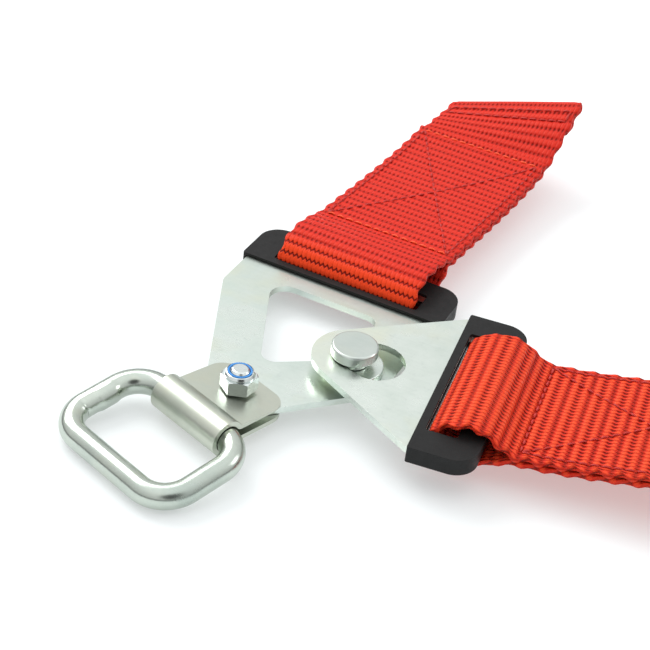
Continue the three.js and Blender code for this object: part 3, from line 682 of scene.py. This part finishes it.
def stitches(name, route, place, lines, lift):
    """Rows of small stitches, thickest in the middle, lying in the face of the web."""
    around = np.linspace(0, 2 * math.pi, STITCH_SIDES, endpoint=False)
    shares = np.linspace(0, 1, STITCH_STATIONS)
    rows, faces, across_lit_slots = [], [], []
    for x0, y0, x1, y1 in lines:
        length = math.hypot(x1 - x0, y1 - y0)
        count = int(length / STITCH_SPACING)
        for k in range(count):
            t0, t1 = (k + 0.10) / count, (k + 0.88) / count
            start = len(rows)
            for share in shares:
                t = t0 + (t1 - t0) * share
                x, y = x0 + (x1 - x0) * t, y0 + (y1 - y0) * t
                near = np.array([[d, route.height(d) + lift] for d in (y - 1, y, y + 1)])
                centre, side, up = (part[1] for part in route.frames(near))
                along = np.cross(up, side)
                way = (side * (x1 - x0) + along * (y1 - y0)) / length
                away = np.cross(way, up)
                radius = THREAD_RADIUS * math.sin(math.pi * (0.10 + 0.80 * share)) ** 0.5
                middle = centre + side * x + up * (0.80 + 0.32 * math.sin(math.pi * share))
                wobble = 0.06 * math.sin(9.0 * share + k)
                for a in around:
                    rows.append(middle + away * (radius * math.cos(a) + wobble)
                                + up * radius * 0.85 * math.sin(a))
            last = start + (STITCH_STATIONS - 1) * STITCH_SIDES
            for ring in range(start, last, STITCH_SIDES):
                for m in range(STITCH_SIDES):
                    a, b = ring + m, ring + (m + 1) % STITCH_SIDES
                    faces.append([a, b, b + STITCH_SIDES, a + STITCH_SIDES])
            faces.append([start + m for m in range(STITCH_SIDES)][::-1])
            faces.append([last + m for m in range(STITCH_SIDES)])
            # stitches across the strap take the first material, which on the main box is the thread painted
            # lighter as a painted highlight
            across_lit_slots += [0 if y0 == y1 else 1] * (STITCH_SIDES * (STITCH_STATIONS - 1) + 2)
    points = placed(np.array(rows), *place)
    mesh = bpy.data.meshes.new(name)
    mesh.from_pydata(points.tolist(), [], faces)
    mesh.polygons.foreach_set("use_smooth", np.ones(len(mesh.polygons), bool))
    mesh.polygons.foreach_set("material_index", across_lit_slots)
    face_outwards(mesh)
    return linked(name, mesh)


# colours: painted highlight and lighter cloud, the web's own red, then painted shade and fibre dark
main_web_red = webbing_material(
    "main_webbing", rgb(0.74, 0.028, 0.013), rgb(0.61, 0.016, 0.009), rgb(0.24, 0.005, 0.003), 0.0006,
    FINE_WEAVE["dots"])
tongue_web_red = webbing_material(
    "tongue_webbing", rgb(1.0, 0.105, 0.030), rgb(0.76, 0.026, 0.012), rgb(0.25, 0.006, 0.004), 0.0010,
    LONG_WEAVE["dots"])
# the same red thread painted lighter, a painted highlight for the across stitches of the main box
thread_painted_highlight = thread_material("thread_painted_highlight", rgb(1.0, 0.115, 0.018), rgb(0.80, 0.045, 0.010))
deep_thread = thread_material("deep_thread", rgb(0.62, 0.020, 0.010), rgb(0.36, 0.010, 0.005))

main_web, main_length = woven(
    "main_webbing", MAIN_ROUTE, main_points(), MAIN_FRAME, (4.5, 4.5, 1.0), FINE_WEAVE)
tongue_web, tongue_length = woven(
    "tongue_webbing", TONGUE_ROUTE, tongue_points(), TONGUE_FRAME, (10.0, 9.0, 0.25), LONG_WEAVE)
dress(main_web, main_web_red, "main_webbing", "red_webbing", "main_strap")
dress(tongue_web, tongue_web_red, "tongue_webbing", "red_webbing", "tongue_strap")

box = box_lines(BOX_FROM, BOX_TO, BOX_HALF)
hem = box_lines(119.5, 123.5, 22.6)[:4]
loop_end = box_lines(133, 149, BOX_HALF)
main_box = stitches("main_box_thread", MAIN_ROUTE, MAIN_FRAME, box, LAYER)
main_hem = stitches("main_hem_thread", MAIN_ROUTE, MAIN_FRAME, hem, 0.0)
tongue_box = stitches("tongue_box_thread", TONGUE_ROUTE, TONGUE_FRAME, box, LAYER)
tongue_end = stitches("tongue_end_thread", TONGUE_ROUTE, TONGUE_FRAME, loop_end, 0.0)
# painted highlight: the across stitches of the main box get the lighter copy of the thread
dress(main_box, thread_painted_highlight, "main_webbing", "red_thread", "main_box_stitch", second=deep_thread)
dress(main_hem, deep_thread, "main_webbing", "red_thread", "main_hem_stitch", second=deep_thread)
dress(tongue_box, deep_thread, "tongue_webbing", "red_thread", "tongue_box_stitch", second=deep_thread)
dress(tongue_end, deep_thread, "tongue_webbing", "red_thread", "tongue_end_stitch", second=deep_thread)

# ---------------------------------------------------------------- stage, light and camera
FLOOR_HALF, FLOOR_DROP = 6, -0.0002
floor_mesh = bpy.data.meshes.new("floor")
floor_mesh.from_pydata(
    [(x * FLOOR_HALF, y * FLOOR_HALF, FLOOR_DROP) for x, y in ((-1, -1), (1, -1), (1, 1), (-1, 1))],
    [], [(0, 1, 2, 3)])
floor = linked("floor", floor_mesh)
floor_nodes = Nodes("floor_white")
floor_mesh.materials.append(floor_nodes.principled(
    Base_Color=rgb(0.61, 0.64, 0.645), Roughness=0.9, Specular_IOR_Level=0.0,
    Emission_Color=rgb(0.99, 1.0, 1.0), Emission_Strength=0.38))

CARD_DIRECTION = Vector((0.52, -0.62, 0.58)).normalized()
CARD_OUTSIDE, CARD_INSIDE, CARD_LIGHT = 0.90, 0.97, 0.10        # its soft edge as cosines, its light
SKY_GREYS = ((0.10, 0.16), (0.24, 0.52), (0.60, 0.66))          # height and grey, between ground and top
SKY_STRENGTH = 1.38


def studio_world():
    """A dome that is dark at the ground and pale above, with a dark card for the metal to mirror."""
    world = bpy.data.worlds.new("studio")
    world.use_nodes = True
    tree = world.node_tree
    background = tree.nodes["Background"]
    background.inputs["Strength"].default_value = SKY_STRENGTH
    coordinate = tree.nodes.new("ShaderNodeTexCoord")
    split = tree.nodes.new("ShaderNodeSeparateXYZ")
    ramp = tree.nodes.new("ShaderNodeValToRGB")
    stops = ramp.color_ramp.elements
    stops[0].position, stops[0].color = 0.0, rgb(0.10, 0.105, 0.11)
    stops[1].position, stops[1].color = 1.0, rgb(0.95, 0.96, 0.97)
    for position, shade in SKY_GREYS:
        stops.new(position).color = rgb(shade, shade * 1.005, shade * 1.01)
    card = tree.nodes.new("ShaderNodeVectorMath")
    card.operation = "DOT_PRODUCT"
    card.inputs[1].default_value = CARD_DIRECTION
    card_edge = tree.nodes.new("ShaderNodeMapRange")
    card_edge.inputs["From Min"].default_value = CARD_OUTSIDE
    card_edge.inputs["From Max"].default_value = CARD_INSIDE
    card_edge.inputs["To Min"].default_value = 1.0
    card_edge.inputs["To Max"].default_value = CARD_LIGHT
    shaded = tree.nodes.new("ShaderNodeVectorMath")
    shaded.operation = "SCALE"
    tree.links.new(coordinate.outputs["Generated"], split.inputs[0])
    tree.links.new(split.outputs[2], ramp.inputs[0])
    tree.links.new(coordinate.outputs["Generated"], card.inputs[0])
    tree.links.new(card.outputs["Value"], card_edge.inputs["Value"])
    tree.links.new(ramp.outputs[0], shaded.inputs[0])
    tree.links.new(card_edge.outputs["Result"], shaded.inputs["Scale"])
    tree.links.new(shaded.outputs[0], background.inputs["Color"])
    return world


def softbox(name, place, size, watts):
    """A square lamp that faces the middle of the part."""
    light = bpy.data.lights.new(name, "AREA")
    light.shape = "RECTANGLE"
    light.size = light.size_y = size
    light.energy = watts
    lamp = linked(name, light)
    lamp.location = place
    lamp.rotation_euler = (-Vector(place)).to_track_quat("-Z", "Y").to_euler()


bpy.context.scene.world = studio_world()
softbox("key", (-0.95, 0.30, 0.85), 0.8, 9.0)
softbox("fill", (0.9, 0.7, 0.8), 0.5, 2.0)

CAMERA_FROM_STUD = Vector((154.906, -405.276, 326.47)) * MM
CAMERA_RIGHT = Vector((0.889137, 0.445256, 0.105745))
CAMERA_UP = Vector((-0.338963, 0.485495, 0.805853))
CAMERA_BACK = Vector((0.307472, -0.752358, 0.582597))
camera_data = bpy.data.cameras.new("camera")
camera_data.lens = 98.01
camera_data.sensor_width = 36.0
camera_data.clip_start = 0.01
camera = linked("camera", camera_data)
camera.matrix_world = Matrix.Translation(Vector(STUD) + CAMERA_FROM_STUD) @ Matrix(
    (CAMERA_RIGHT, CAMERA_UP, CAMERA_BACK)).transposed().to_4x4()
scene = bpy.context.scene
scene.camera = camera
scene.view_settings.view_transform = "Standard"
scene.view_settings.look = "None"
scene.view_settings.exposure = 0.0
